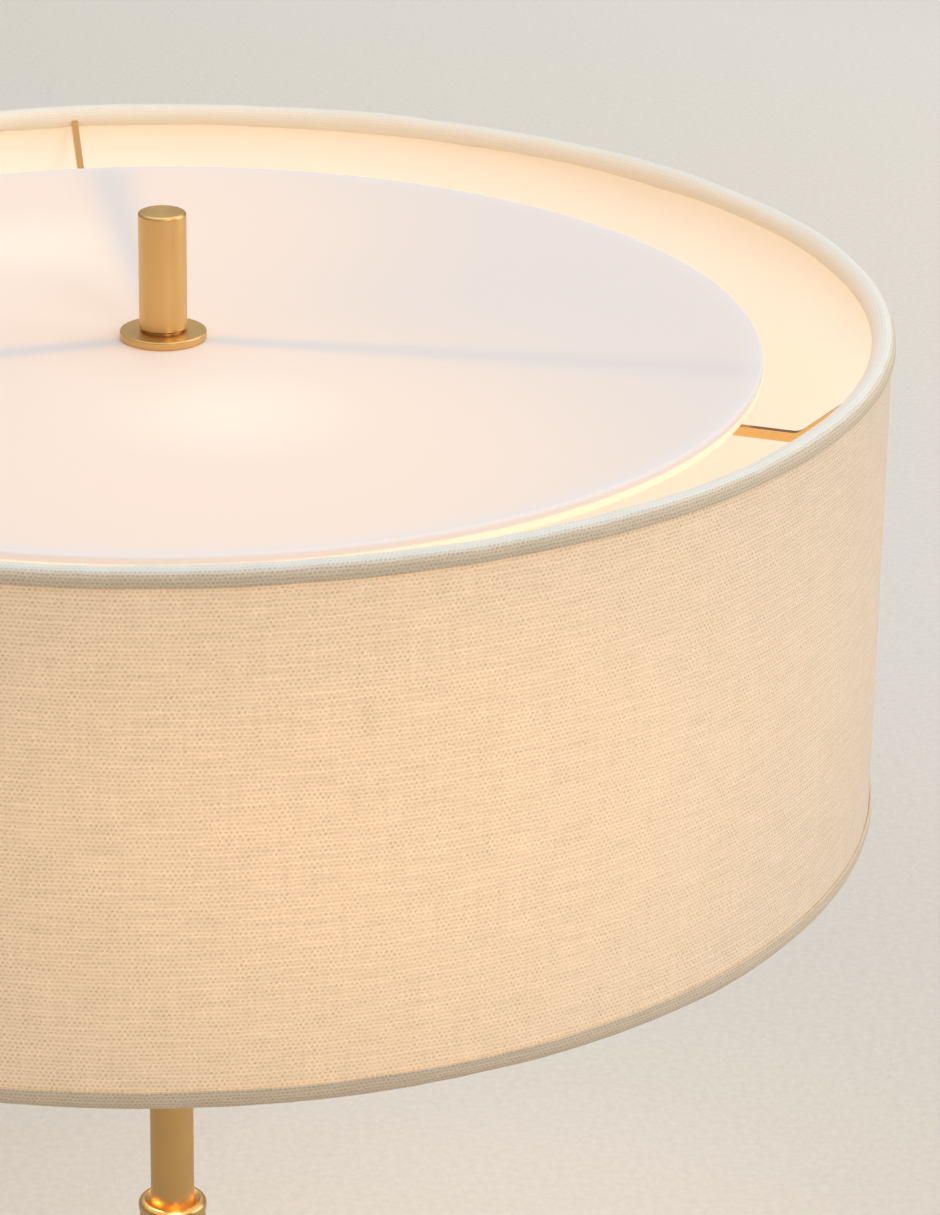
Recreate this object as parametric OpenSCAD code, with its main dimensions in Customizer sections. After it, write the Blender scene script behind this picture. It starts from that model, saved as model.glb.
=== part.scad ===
// Table lamp with a fabric drum shade, a frosted diffuser and two LED bulbs.
// +Z is up, the origin is the centre of the underside, and lengths are in millimetres.

/* [Shade] */
// Outer diameter of the shade across its trim
shade_d = 406.4; // [380:0.1:440]
// Height of the shade from the top of its rim to its bottom edge
shade_h = 145; // [135:0.1:180]
// Height of the top ring wire's centre above the table
rim_z = 560; // [540:1:640]
// Thickness of the stiff liner sheet
liner_t = 0.5; // [0.4:0.05:0.8]
// Thickness of the woven cover
fabric_t = 0.7; // [0.5:0.05:1]
// Thickness of the folded trim where it lies on the cover
trim_t = 0.75; // [0.6:0.05:1.1]
// Glue line between a ring wire and the liner
glue_t = 0.15; // [0.1:0.05:0.3]
// Diameter of the two ring wires
wire_d = 3.8; // [3:0.1:4.6]
// Height of the top trim, from the rim's top to the trim's lower edge
top_band_h = 4.5; // [4.2:0.1:9]
// Height of the bottom trim
low_band_h = 5.6; // [5:0.1:10]

/* [Spider] */
// Number of spider arms
arm_count = 3; // [3:1:4]
// Azimuth of the first spider arm, in degrees
arm_azimuth = 98; // [90:1:100]
// Height of an arm's section
arm_h = 2.7; // [2.2:0.1:4]
// Width of an arm's section
arm_w = 2; // [1.6:0.1:3]
// Radius of the bend on an arm's upper side
arm_bend_r = 5; // [4:0.5:16]
// Slope of an arm's end where it climbs to the top ring, in degrees
arm_slope = 40; // [36:1:55]
// Diameter of the spider's hub
hub_d = 30; // [26:0.5:36]

/* [Diffuser] */
// Diameter of the diffuser disc
disc_d = 334.4; // [310:0.1:350]
// Thickness of the diffuser disc
disc_t = 4.8; // [3:0.1:5]
// Distance of the disc's top face below the ring wire's centre
disc_drop = 7.2; // [6:0.1:11]
// Rounding of the disc's edges
disc_edge_r = 1; // [0.5:0.1:1.4]

/* [Finial] */
// Diameter of the finial
finial_d = 13.4; // [12:0.1:16]
// Height of the finial from its neck to its top
finial_h = 33.6; // [28:0.1:45]
// Diameter of the neck under the finial
neck_d = 11; // [10:0.1:11.6]
// Height of the neck
neck_h = 0.6; // [0.4:0.1:1.5]
// Diameter of the finial's washer
washer_d = 24.2; // [21:0.1:30]
// Thickness of the finial's washer
washer_t = 2.4; // [2:0.1:3.5]
// Length of the riser rod inside the finial
finial_grip = 13; // [10:0.5:18]

/* [Stem] */
// Outer diameter of the upper stem
stem_d = 13; // [12:0.1:14]
// Wall of the upper stem
stem_wall = 1; // [0.8:0.1:1.4]
// Outer diameter of the lower stem
lower_d = 19.8; // [18.5:0.1:24]
// Wall of the lower stem
lower_wall = 1.2; // [1:0.1:1.6]
// Distance of the collar's lip below the ring wire's centre
collar_drop = 280.3; // [260:0.1:300]
// Overhang of the collar's lip past the lower stem
lip_over = 0.35; // [0.2:0.05:1]
// Height of the collar's lip
lip_h = 2.8; // [2.4:0.1:4]
// Rounding of the collar's lip
lip_r = 1.8; // [1.2:0.1:2.2]
// Depth of the dish inside the collar's lip
dish_h = 1.2; // [0.6:0.1:1.6]
// Depth of the collar's plug in the lower stem
plug_h = 14; // [10:1:25]
// Length of the upper stem below the collar's lip
stem_tail = 30; // [20:1:45]

/* [Base] */
// Diameter of the base
base_d = 190; // [170:1:230]
// Height of the base
base_h = 24; // [24:1:30]
// Wall of the base cover
cover_t = 1.5; // [1:0.1:2]
// Rounding of the base cover's top edge
cover_edge_r = 4; // [3:0.5:6]
// Thickness of the felt pad
pad_t = 2.5; // [2:0.1:3.5]
// Height of the base cover's rim above the table
rim_gap = 1; // [0.6:0.1:1.5]
// Thickness of the base weight outside its boss
weight_t = 15.5; // [14:0.5:17]
// Diameter of the weight's boss
boss_d = 48; // [42:1:60]
// Diameter of the pocket for the nut under the weight
pocket_d = 28; // [26:0.5:32]
// Thickness of the weight above the pocket
pocket_roof = 4; // [3:0.5:5]
// Outer diameter of the stem's foot ring
foot_d = 34; // [30:0.5:42]
// Height of the stem's foot ring
foot_h = 7; // [5:0.5:12]

/* [Cord inlet] */
// Height of the cord inlet's centre
inlet_z = 8; // [8:0.5:9]
// Diameter of the bushing's bore
inlet_bore = 6.4; // [5:0.1:6.6]
// Diameter of the bushing's barrel
inlet_barrel = 9.4; // [9:0.1:10]
// Diameter of the bushing's flange
inlet_flange = 11; // [10.8:0.1:12]
// Length of the bushing's barrel inside the wall
inlet_len = 9; // [7:0.5:14]

/* [Cluster] */
// Distance of the cluster's centre below the ring wire's centre
cluster_drop = 108; // [106:1:112]
// Outer radius of the cluster's body
ball_r = 21; // [20.5:0.5:23]
// Wall of the cluster's body
ball_wall = 2.5; // [2:0.1:3]
// Azimuth of the front socket, in degrees
socket_azimuth = -70; // [-80:1:-60]
// Tilt of the sockets above the horizontal, in degrees
socket_tilt = 30; // [28:1:32]
// Thickness of the cluster's cap
cap_t = 3; // [2:0.5:5]
// Diameter of the riser rod
rod_d = 6.35; // [6:0.05:7]

/* [Sockets and bulbs] */
// Outer diameter of a socket's shell
socket_d = 30; // [29.6:0.1:33]
// Length of a socket's shell
socket_len = 30; // [29:0.5:34]
// Diameter of a bulb's screw base
bulb_base_d = 26.2; // [25.8:0.1:26.4]
// Length of a bulb's screw base with its foot
bulb_base_len = 24; // [22:0.5:25]
// Diameter of a bulb's globe
bulb_d = 48; // [42:1:50]
// Overall length of a bulb
bulb_len = 88; // [84:1:90]
// Wall of a bulb's globe
globe_wall = 1.2; // [0.8:0.1:2]

/* [Switch] */
// Diameter of the switch knob
knob_d = 15; // [13:0.5:18]
// Length of the switch knob's grip
knob_len = 11; // [9:0.5:16]
// Number of grooves round the knob
knob_grooves = 12; // [8:1:16]
// Diameter of the switch's shaft
shaft_d = 6; // [5.5:0.1:6.4]

/* [Hidden] */
$fn = 96;
eps = 0.01;
// Clearances
run_gap = 0.06;
thread_gap = 0.08;
rod_gap = 0.4;
weight_gap = 1.5;
weld_gap = 0.03;
notch_gap = 0.3;
arm_relief = 0.05;
bolt_gap = 0.2;
pad_gap = 0.5;
channel_gap = 0.2;
spigot_gap = 0.1;
foot_gap = 0.2;
// How far a cut runs past the face that it opens
over = 1;
arc_steps = 8;
edge_steps = 4;
bead_steps = 28;
// The shade's section, from outside to inside
rim_r = shade_d / 2;
cover_r = rim_r - trim_t;
liner_out_r = cover_r - fabric_t;
liner_in_r = liner_out_r - liner_t;
wire_r = wire_d / 2;
wire_ring_r = liner_in_r - glue_t - wire_r;
bead_r = (wire_d + glue_t + liner_t + fabric_t + 2 * trim_t) / 2;
bead_ring_r = rim_r - bead_r;
wall_rise = wire_d / 4;
low_wire_z = rim_z + 2 * bead_r - shade_h;
// The stack that the finial clamps
disc_top_z = rim_z - disc_drop;
arm_top_z = disc_top_z - disc_t;
arm_low_z = arm_top_z - arm_h;
washer_top_z = disc_top_z + washer_t;
rod_r = rod_d / 2;
rod_top_z = washer_top_z + finial_grip;
seat_h = 5;
seat_d = 16;
finial_edge_r = 0.9;
washer_edge_r = 0.5;
// The arms' bend, set so that the sloping end points at the ring wire. The disc sits on the
// hub, and the arms lie under it by the relief.
bend_mid_r = arm_bend_r + arm_h / 2;
arm_mid_z = arm_low_z + arm_h / 2 - arm_relief;
slope_drop = rim_z - arm_mid_z - bend_mid_r * (1 - cos(arm_slope));
bend_start_r = wire_ring_r - slope_drop / tan(arm_slope) - bend_mid_r * sin(arm_slope);
// The stem
stem_r = stem_d / 2;
lower_r = lower_d / 2;
lower_in_r = lower_r - lower_wall;
lip_z = rim_z - collar_drop;
tube_top_z = lip_z - lip_h;
// The cluster
cluster_z = rim_z - cluster_drop;
port_out = 1;
port_face = ball_r + port_out;
port_r = 7.5;
port_bore_r = 4.8;
neck_len = 11;
neck_wall = 2.5;
seat_depth = 8;
neck_drop = 6;
cluster_neck_z = cluster_z - ball_r - neck_drop;
stem_top_z = cluster_neck_z + seat_depth;
lead_r = 2.4;
lead_gap = 1.4;
lead_stop = 9;
cap_seat = 17;
cap_z = cluster_z + cap_seat;
cap_r = sqrt(ball_r * ball_r - cap_seat * cap_seat);
cap_spigot_r = sqrt(pow(ball_r - ball_wall, 2) - cap_seat * cap_seat) - spigot_gap;
cap_spigot_h = 2;
nut_h = 4;
rod_nut_w = 11;
rod_past = 1;
// The sockets, measured along their axis from the cluster's centre
nipple_in = 15;
nipple_bore_r = 3.4;
cap_stand = 2;
socket_back = port_face + cap_stand;
cap_len = 9;
cap_lap = 3;
cap_skin = 0.8;
shell_start = socket_back + cap_len - cap_lap;
socket_mouth = shell_start + socket_len;
shell_r = socket_d / 2;
shell_skin = 0.8;
insulator_floor = 3;
insulator_r = shell_r - shell_skin;
bulb_base_r = bulb_base_d / 2;
screw_in_r = bulb_base_r + thread_gap;
screw_skin = 0.5;
contact_h = 0.8;
contact_start = shell_start + insulator_floor;
bulb_foot = contact_start + contact_h + foot_gap;
base_top = bulb_foot + bulb_base_len;
foot_len = 3.5;
base_taper = 1.6;
bulb_r = bulb_d / 2;
globe_mid = bulb_foot + bulb_len - bulb_r;
globe_cut = globe_mid - bulb_r / 2;
globe_cut_r = sqrt(bulb_r * bulb_r - bulb_r * bulb_r / 4);
housing_wall = 1.5;
board_t = 1.6;
chip_w = 2.8;
chip_h = 0.7;
chip_count = 8;
// The switch, measured along its axis from the cluster's centre
switch_azimuth = socket_azimuth + 90;
shaft_r = shaft_d / 2;
bushing_wall = 1.6;
bushing_r = shaft_r + bushing_wall;
switch_box = [11, 13, 12];
switch_back = 1.5;
bushing_len = 4.2;
bushing_out = port_face + bushing_len;
knob_gap = 1;
knob_start = bushing_out + knob_gap;
knob_back = 3;
knob_top = knob_start + knob_back + knob_len;
knob_web = 3;
shaft_end = knob_top - knob_web;
knob_r = knob_d / 2;
groove_r = 1.1;
// The base
base_r = base_d / 2;
weight_r = base_r - cover_t - weight_gap;
cover_in_z = base_h - cover_t;
pocket_z = cover_in_z - pocket_roof;
washer_h = 1;
nipple_r = 5;
nipple_in_r = 3.9;
nut_past = 0.5;
nipple_low_z = pocket_z - washer_h - nut_h - nut_past;
coupling_h = 16;
coupling_lift = 2;
coupling_z = base_h + coupling_lift;
coupling_past = 2;
nipple_top_z = coupling_z + coupling_h + coupling_past;
channel_w = 9.6;
channel_top_z = inlet_z + inlet_barrel / 2 + channel_gap;
lead_bend_r = 7;
lead_short = 3;
lead_start_y = base_r - cover_t - inlet_len - lead_short;
flange_h = 2;

brass = "#b8925c";
bright_brass = "#caa25f";
steel = "#9a9da1";
white_enamel = "#ecebe6";

// Points along an arc in a profile, from one angle to another
function arc(centre, r, from, to, steps = arc_steps) =
    [for (i = [0:steps]) centre + r * [cos(from + (to - from) * i / steps),
        sin(from + (to - from) * i / steps)]];

// A tube on the Z axis
module tube(r_out, r_in, z_low, z_high) {
    translate([0, 0, z_low])
        difference() {
            cylinder(r = r_out, h = z_high - z_low);
            translate([0, 0, -eps])
                cylinder(r = r_in, h = z_high - z_low + 2 * eps);
        }
}

// A drilled hexagon nut on the Z axis
module nut(across, r_in, z_low, h) {
    translate([0, 0, z_low])
        difference() {
            cylinder(d = across / cos(30), h = h, $fn = 6);
            translate([0, 0, -eps])
                cylinder(r = r_in, h = h + 2 * eps);
        }
}

// Places children with +Z along a socket's axis, from the cluster's centre
module on_socket(back) {
    translate([0, 0, cluster_z])
        rotate([0, 90 - socket_tilt, socket_azimuth + (back ? 180 : 0)])
            children();
}

// Places children with +Z along the switch's axis, from the cluster's centre
module on_switch() {
    translate([0, 0, cluster_z])
        rotate([0, 90, switch_azimuth])
            children();
}

// Base

module base_cover() {
    inner_r = base_r - cover_t;
    inner_edge = cover_edge_r - cover_t;
    outline = concat([[0, rim_gap], [base_r, rim_gap]],
        arc([base_r - cover_edge_r, base_h - cover_edge_r], cover_edge_r, 0, 90), [[0, base_h]]);
    hollow = concat([[0, rim_gap - over], [inner_r, rim_gap - over]],
        arc([inner_r - inner_edge, cover_in_z - inner_edge], inner_edge, 0, 90),
        [[0, cover_in_z]]);
    color(brass)
        difference() {
            rotate_extrude() polygon(outline);
            rotate_extrude() polygon(hollow);
            cylinder(r = nipple_r + bolt_gap, h = base_h + over);
            translate([0, base_r + over, inlet_z])
                rotate([90, 0, 0])
                    cylinder(d = inlet_barrel, h = 2 * cover_t + over);
        }
}

module base_weight() {
    color("#4a4b4d")
        difference() {
            union() {
                translate([0, 0, pad_t])
                    cylinder(r = weight_r, h = weight_t);
                translate([0, 0, pad_t])
                    cylinder(d = boss_d, h = cover_in_z - pad_t);
            }
            translate([0, 0, pad_t - over])
                cylinder(d = pocket_d, h = pocket_z - pad_t + over);
            cylinder(r = nipple_r + bolt_gap, h = base_h);
            translate([-channel_w / 2, 0, pad_t - over])
                cube([channel_w, base_r, channel_top_z - pad_t + over]);
        }
}

module base_pad() {
    color("#3b3a38")
        cylinder(r = base_r - cover_t - pad_gap, h = pad_t);
}

module cord_bushing() {
    wall_in = base_r - cover_t;
    color("#2a2a2b")
        difference() {
            translate([0, 0, inlet_z])
                rotate([-90, 0, 0])
                    union() {
                        translate([0, 0, wall_in - inlet_len])
                            cylinder(d = inlet_barrel, h = cover_t + inlet_len);
                        difference() {
                            translate([0, 0, wall_in])
                                cylinder(d = inlet_flange, h = cover_t + flange_h);
                            rotate([90, 0, 0])
                                cylinder(r = base_r, h = base_d, center = true);
                        }
                    }
            translate([0, 0, inlet_z])
                rotate([-90, 0, 0])
                    cylinder(d = inlet_bore, h = base_r + flange_h + over);
        }
}

module base_nipple() {
    color(steel)
        tube(nipple_r, nipple_in_r, nipple_low_z, nipple_top_z);
}

module base_washer() {
    washer_r = 10;
    color(steel)
        tube(washer_r, nipple_r + bolt_gap, pocket_z - washer_h, pocket_z);
}

module base_nut() {
    nut_w = 17;
    color(steel)
        nut(nut_w, nipple_r, pocket_z - washer_h - nut_h, nut_h);
}

// Stem

module stem_foot() {
    edge = 2;
    turn = 60;
    land = 1.4;
    profile = concat([[lower_r, base_h], [foot_d / 2, base_h]],
        arc([foot_d / 2 - edge, base_h + foot_h / 2], edge, 0, turn),
        [[lower_r + land, base_h + foot_h], [lower_r, base_h + foot_h]]);
    color(brass)
        rotate_extrude() polygon(profile);
}

module stem_coupling() {
    color(steel)
        tube(lower_in_r, nipple_r, coupling_z, coupling_z + coupling_h);
}

module lower_stem() {
    color(brass)
        tube(lower_r, lower_in_r, base_h, tube_top_z);
}

module stem_collar() {
    lip_out = lower_r + lip_over;
    profile = concat([[stem_r, tube_top_z - plug_h], [lower_in_r, tube_top_z - plug_h],
        [lower_in_r, tube_top_z], [lip_out, tube_top_z]],
        arc([lip_out - lip_r, lip_z - lip_r], lip_r, 0, 90),
        [[stem_r, lip_z - dish_h]]);
    color(bright_brass)
        rotate_extrude() polygon(profile);
}

module upper_stem() {
    color(brass)
        tube(stem_r, stem_r - stem_wall, lip_z - stem_tail, stem_top_z);
}

module stem_lead() {
    bend_z = inlet_z + lead_bend_r;
    color("#d9d4c8")
        union() {
            translate([0, 0, bend_z])
                cylinder(r = lead_r, h = cluster_z - lead_stop - bend_z);
            translate([0, lead_bend_r, bend_z])
                rotate([-90, 0, -90])
                    rotate_extrude(angle = 90)
                        translate([lead_bend_r, 0])
                            circle(r = lead_r);
            translate([0, lead_bend_r, inlet_z])
                rotate([-90, 0, 0])
                    cylinder(r = lead_r, h = lead_start_y - lead_bend_r);
        }
}

// Cluster and riser

module cluster_body() {
    color(brass)
        difference() {
            union() {
                translate([0, 0, cluster_z])
                    intersection() {
                        sphere(r = ball_r);
                        translate([0, 0, cap_seat - 4 * ball_r])
                            cylinder(r = 2 * ball_r, h = 4 * ball_r);
                    }
                translate([0, 0, cluster_neck_z])
                    cylinder(r = stem_r + neck_wall, h = neck_len);
                for (back = [false, true])
                    on_socket(back)
                        cylinder(r = port_r, h = port_face);
                on_switch()
                    cylinder(r = port_r, h = port_face);
            }
            translate([0, 0, cluster_z])
                sphere(r = ball_r - ball_wall);
            translate([0, 0, cluster_neck_z - over])
                cylinder(r = stem_r, h = seat_depth + over);
            translate([0, 0, cluster_neck_z])
                cylinder(r = lead_r + lead_gap, h = ball_r);
            for (back = [false, true])
                on_socket(back)
                    cylinder(r = port_bore_r, h = port_face + over);
            on_switch()
                cylinder(r = bushing_r, h = port_face + over);
        }
}

module cluster_cap() {
    crown = 2;
    profile = concat([[rod_r, cap_z - cap_spigot_h], [cap_spigot_r, cap_z - cap_spigot_h],
        [cap_spigot_r, cap_z], [cap_r, cap_z]],
        arc([cap_r - crown, cap_z + cap_t - crown], crown, 0, 90), [[rod_r, cap_z + cap_t]]);
    color(brass)
        rotate_extrude() polygon(profile);
}

module riser_rod() {
    low_z = cap_z - cap_spigot_h - nut_h - rod_past;
    color(bright_brass)
        translate([0, 0, low_z])
            cylinder(r = rod_r, h = rod_top_z - low_z);
}

module rod_nuts() {
    color(steel) {
        nut(rod_nut_w, rod_r, cap_z + cap_t, nut_h);
        nut(rod_nut_w, rod_r, cap_z - cap_spigot_h - nut_h, nut_h);
    }
}

module spider_seat() {
    edge = 1;
    low = arm_low_z - seat_h;
    profile = concat([[rod_r, low]], arc([seat_d / 2 - edge, low + edge], edge, -90, 0),
        [[seat_d / 2, arm_low_z], [rod_r, arm_low_z]]);
    color(bright_brass)
        rotate_extrude() polygon(profile);
}

// Switch

module switch_body() {
    color("#26272b")
        on_switch()
            union() {
                translate([-switch_box[0] / 2, -switch_box[1] / 2, switch_back])
                    cube(switch_box);
                tube(bushing_r, shaft_r + run_gap, switch_back + switch_box[2], bushing_out);
            }
}

module switch_nut() {
    nut_w = 13;
    thin_h = 2.4;
    color(steel)
        on_switch()
            nut(nut_w, bushing_r, port_face, thin_h);
}

module switch_shaft() {
    shaft_gap = 0.3;
    start = switch_back + switch_box[2] + shaft_gap;
    color(steel)
        on_switch()
            translate([0, 0, start])
                cylinder(r = shaft_r, h = shaft_end - start);
}

module switch_knob() {
    edge = 1.2;
    back_rim = 0.8;
    groove_out = 0.4;
    groove_lift = 1;
    grip_z = knob_start + knob_back;
    profile = concat([[shaft_r, knob_start], [bushing_r + back_rim, knob_start],
        [knob_r, grip_z]], arc([knob_r - edge, knob_top - edge], edge, 0, 90),
        [[0, knob_top], [0, shaft_end], [shaft_r, shaft_end]]);
    color("#242424")
        on_switch()
            difference() {
                rotate_extrude() polygon(profile);
                for (i = [0:knob_grooves - 1])
                    rotate([0, 0, 360 * i / knob_grooves])
                        translate([knob_r + groove_out, 0, grip_z + groove_lift])
                            cylinder(r = groove_r, h = knob_len + over);
            }
}

module wire_caps() {
    cap_radius = 2.8;
    mouth_r = 2.2;
    mouth_h = 2;
    tip = 1.2;
    long = 11;
    from_axis = 9.5;
    from_middle = 3.2;
    drop = 5;
    profile = concat([[0, 0], [mouth_r, 0], [cap_radius, mouth_h]],
        arc([cap_radius - tip, long - tip], tip, 0, 90), [[0, long]]);
    color("#d8c9a0")
        for (side = [-1, 1])
            rotate([0, 0, switch_azimuth])
                translate([-from_axis, side * from_middle, cluster_z - drop])
                    rotate_extrude() polygon(profile);
}

// Sockets

module socket_nipple(back) {
    short = 1;
    color(steel)
        on_socket(back)
            tube(port_bore_r, nipple_bore_r, nipple_in, shell_start - short);
}

module socket_cap(back) {
    skirt = socket_back + cap_len;
    rim = shell_r + cap_skin;
    dome = 6.5;
    dome_skin = 1.2;
    outside = concat([[port_bore_r, socket_back], [rim - dome, socket_back]],
        arc([rim - dome, socket_back + dome], dome, -90, 0), [[rim, skirt], [shell_r, skirt]]);
    inside = concat([[shell_r, shell_start]],
        arc([rim - dome, socket_back + dome], dome - dome_skin, -10, -90),
        [[port_bore_r, socket_back + dome_skin]]);
    color(brass)
        on_socket(back)
            rotate_extrude() polygon(concat(outside, inside));
}

module socket_shell(back) {
    bead = 0.6;
    profile = concat([[shell_r - shell_skin, shell_start], [shell_r, shell_start]],
        [[shell_r, socket_mouth - 2 * bead]],
        arc([shell_r, socket_mouth - bead], bead, -90, 90),
        [[shell_r - shell_skin, socket_mouth]]);
    color(brass)
        on_socket(back)
            rotate_extrude() polygon(profile);
}

module socket_insulator(back) {
    inner = screw_in_r + screw_skin;
    mouth_short = 2;
    wire_hole_r = 1.5;
    color("#efe9da")
        on_socket(back)
            difference() {
                translate([0, 0, shell_start])
                    cylinder(r = insulator_r, h = socket_len - mouth_short);
                translate([0, 0, contact_start])
                    cylinder(r = inner, h = socket_len);
                translate([0, 0, shell_start - over])
                    cylinder(r = wire_hole_r, h = insulator_floor + 2 * over);
            }
}

module screw_shell(back) {
    mouth_short = 3;
    contact_r = 3;
    color("#c9b27c")
        on_socket(back) {
            tube(screw_in_r + screw_skin, screw_in_r, contact_start,
                socket_mouth - mouth_short);
            translate([0, 0, contact_start])
                cylinder(r = contact_r, h = contact_h);
        }
}

// Bulbs

module bulb_foot_piece(back) {
    button_r = 3.5;
    shoulder_r = 4.2;
    button_h = 0.8;
    profile = [[0, bulb_foot], [button_r, bulb_foot], [shoulder_r, bulb_foot + button_h],
        [bulb_base_r - base_taper, bulb_foot + foot_len], [0, bulb_foot + foot_len]];
    color("#2b2724")
        on_socket(back)
            rotate_extrude() polygon(profile);
}

module bulb_base(back) {
    skin = 0.5;
    taper_h = 2;
    low = bulb_foot + foot_len;
    small_r = bulb_base_r - base_taper;
    profile = [[0, low], [small_r, low], [bulb_base_r, low + taper_h],
        [bulb_base_r, base_top], [bulb_base_r - skin, base_top],
        [bulb_base_r - skin, low + taper_h + skin], [small_r - skin, low + skin],
        [0, low + skin]];
    color("#c9c6bd")
        on_socket(back)
            rotate_extrude() polygon(profile);
}

// The housing's radius at a share s of its flare, an easing curve from the base to the globe
function flare_r(s, from, to) = from + (to - from) * (1 - cos(180 * s)) / 2;

module bulb_housing(back) {
    collar_step = 0.3;
    mouth_gap = 0.5;
    count = 8;
    low_r = bulb_base_r + collar_step;
    flare_z = socket_mouth + mouth_gap;
    flare_h = globe_cut - flare_z;
    outside = [for (i = [0:count])
        [flare_r(i / count, low_r, globe_cut_r), flare_z + flare_h * i / count]];
    inside = [for (i = [count:-1:0])
        [flare_r(i / count, low_r, globe_cut_r) - housing_wall,
            flare_z + flare_h * i / count]];
    profile = concat([[low_r, base_top]], outside, inside, [[low_r - housing_wall, base_top]]);
    color(white_enamel)
        on_socket(back)
            rotate_extrude() polygon(profile);
}

module led_board(back) {
    board_gap = 0.2;
    chip_share = 0.68;
    board_r = globe_cut_r - housing_wall - board_gap;
    color("#f4f1e6")
        on_socket(back)
            union() {
                translate([0, 0, globe_cut - board_t])
                    cylinder(r = board_r, h = board_t);
                for (i = [0:chip_count - 1])
                    rotate([0, 0, 360 * i / chip_count])
                        translate([board_r * chip_share - chip_w / 2, -chip_w / 2,
                            globe_cut - eps])
                            cube([chip_w, chip_w, chip_h]);
            }
}

module bulb_globe(back) {
    color("#fff4dc")
        on_socket(back)
            difference() {
                translate([0, 0, globe_mid])
                    sphere(r = bulb_r);
                translate([0, 0, globe_mid])
                    sphere(r = bulb_r - globe_wall);
                translate([0, 0, globe_cut - bulb_d])
                    cylinder(r = bulb_d, h = bulb_d);
            }
}

// Shade

module ring_wire(z) {
    rotate_extrude()
        translate([wire_ring_r, z])
            circle(r = wire_r);
}

// The section of a folded trim, from the outer leaf over the wire to the tuck on the liner
module trim_section(band_h) {
    tuck = 360 - acos((liner_in_r - bead_ring_r) / bead_r);
    difference() {
        polygon(concat([[cover_r, bead_r - band_h], [rim_r, bead_r - band_h]],
            arc([bead_ring_r, 0], bead_r, 0, tuck, bead_steps),
            [[liner_in_r, wall_rise], [cover_r, wall_rise]]));
        translate([wire_ring_r, 0])
            circle(r = wire_r);
    }
}

// An arm's outline in the plane of its radius and height, widened all round by a gap
module arm_outline(gap = 0) {
    half = arm_h / 2 + gap;
    centre = [bend_start_r, arm_mid_z + bend_mid_r];
    inner = bend_mid_r - half;
    outer = bend_mid_r + half;
    finish = [wire_ring_r, rim_z];
    side = half * [sin(arm_slope), -cos(arm_slope)];
    root_r = hub_d / 4;
    polygon(concat([[root_r, arm_mid_z - half]],
        arc(centre, outer, -90, arm_slope - 90), [finish + side, finish - side],
        arc(centre, inner, arm_slope - 90, -90), [[root_r, arm_mid_z + half]]));
}

// All arms as bars of one width
module arm_bars(width, gap = 0) {
    for (i = [0:arm_count - 1])
        rotate([90, 0, arm_azimuth + 360 * i / arm_count])
            translate([0, 0, -width / 2])
                linear_extrude(height = width)
                    arm_outline(gap);
}

module spider_hub() {
    color(bright_brass)
        tube(hub_d / 2, rod_r + rod_gap, arm_low_z, arm_top_z);
}

module spider_arms() {
    color(bright_brass)
        difference() {
            arm_bars(arm_w);
            translate([0, 0, arm_low_z - over])
                cylinder(d = hub_d, h = arm_h + 2 * over);
            rotate_extrude()
                translate([wire_ring_r, rim_z])
                    circle(r = wire_r + weld_gap);
        }
}

module top_ring() {
    color(steel) ring_wire(rim_z);
}

module bottom_ring() {
    color(steel) ring_wire(low_wire_z);
}

module shade_liner() {
    color("#fff3df")
        tube(liner_out_r, liner_in_r, low_wire_z - wall_rise, rim_z + wall_rise);
}

module shade_cover() {
    color("#efe3cc")
        tube(cover_r, liner_out_r, low_wire_z - wall_rise, rim_z + wall_rise);
}

module top_trim() {
    color("#e2ddd0")
        difference() {
            translate([0, 0, rim_z])
                rotate_extrude() trim_section(top_band_h);
            arm_bars(arm_w + 2 * notch_gap, notch_gap);
        }
}

module bottom_trim() {
    color("#e2ddd0")
        translate([0, 0, low_wire_z])
            mirror([0, 0, 1])
                rotate_extrude() trim_section(low_band_h);
}

// Diffuser and finial

module diffuser_disc() {
    r = disc_d / 2;
    profile = concat([[rod_r + rod_gap, arm_top_z]],
        arc([r - disc_edge_r, arm_top_z + disc_edge_r], disc_edge_r, -90, 0, edge_steps),
        arc([r - disc_edge_r, disc_top_z - disc_edge_r], disc_edge_r, 0, 90, edge_steps),
        [[rod_r + rod_gap, disc_top_z]]);
    color("#f6efe9")
        rotate_extrude() polygon(profile);
}

module finial_washer() {
    r = washer_d / 2;
    e = washer_edge_r;
    profile = concat([[rod_r + rod_gap / 2, disc_top_z]],
        arc([r - e, disc_top_z + e], e, -90, 0, edge_steps),
        arc([r - e, washer_top_z - e], e, 0, 90, edge_steps),
        [[rod_r + rod_gap / 2, washer_top_z]]);
    color(brass)
        rotate_extrude() polygon(profile);
}

module finial() {
    r = finial_d / 2;
    shoulder = washer_top_z + neck_h;
    top = shoulder + finial_h;
    e = finial_edge_r;
    bore_r = rod_r + run_gap;
    bore_room = 1.5;
    bore_top = rod_top_z + bore_room;
    profile = concat([[bore_r, washer_top_z], [neck_d / 2, washer_top_z],
        [neck_d / 2, shoulder], [r - e / 2, shoulder], [r, shoulder + e / 2]],
        arc([r - e, top - e], e, 0, 90), [[0, top], [0, bore_top], [bore_r, bore_top]]);
    color(brass)
        rotate_extrude() polygon(profile);
}

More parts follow.
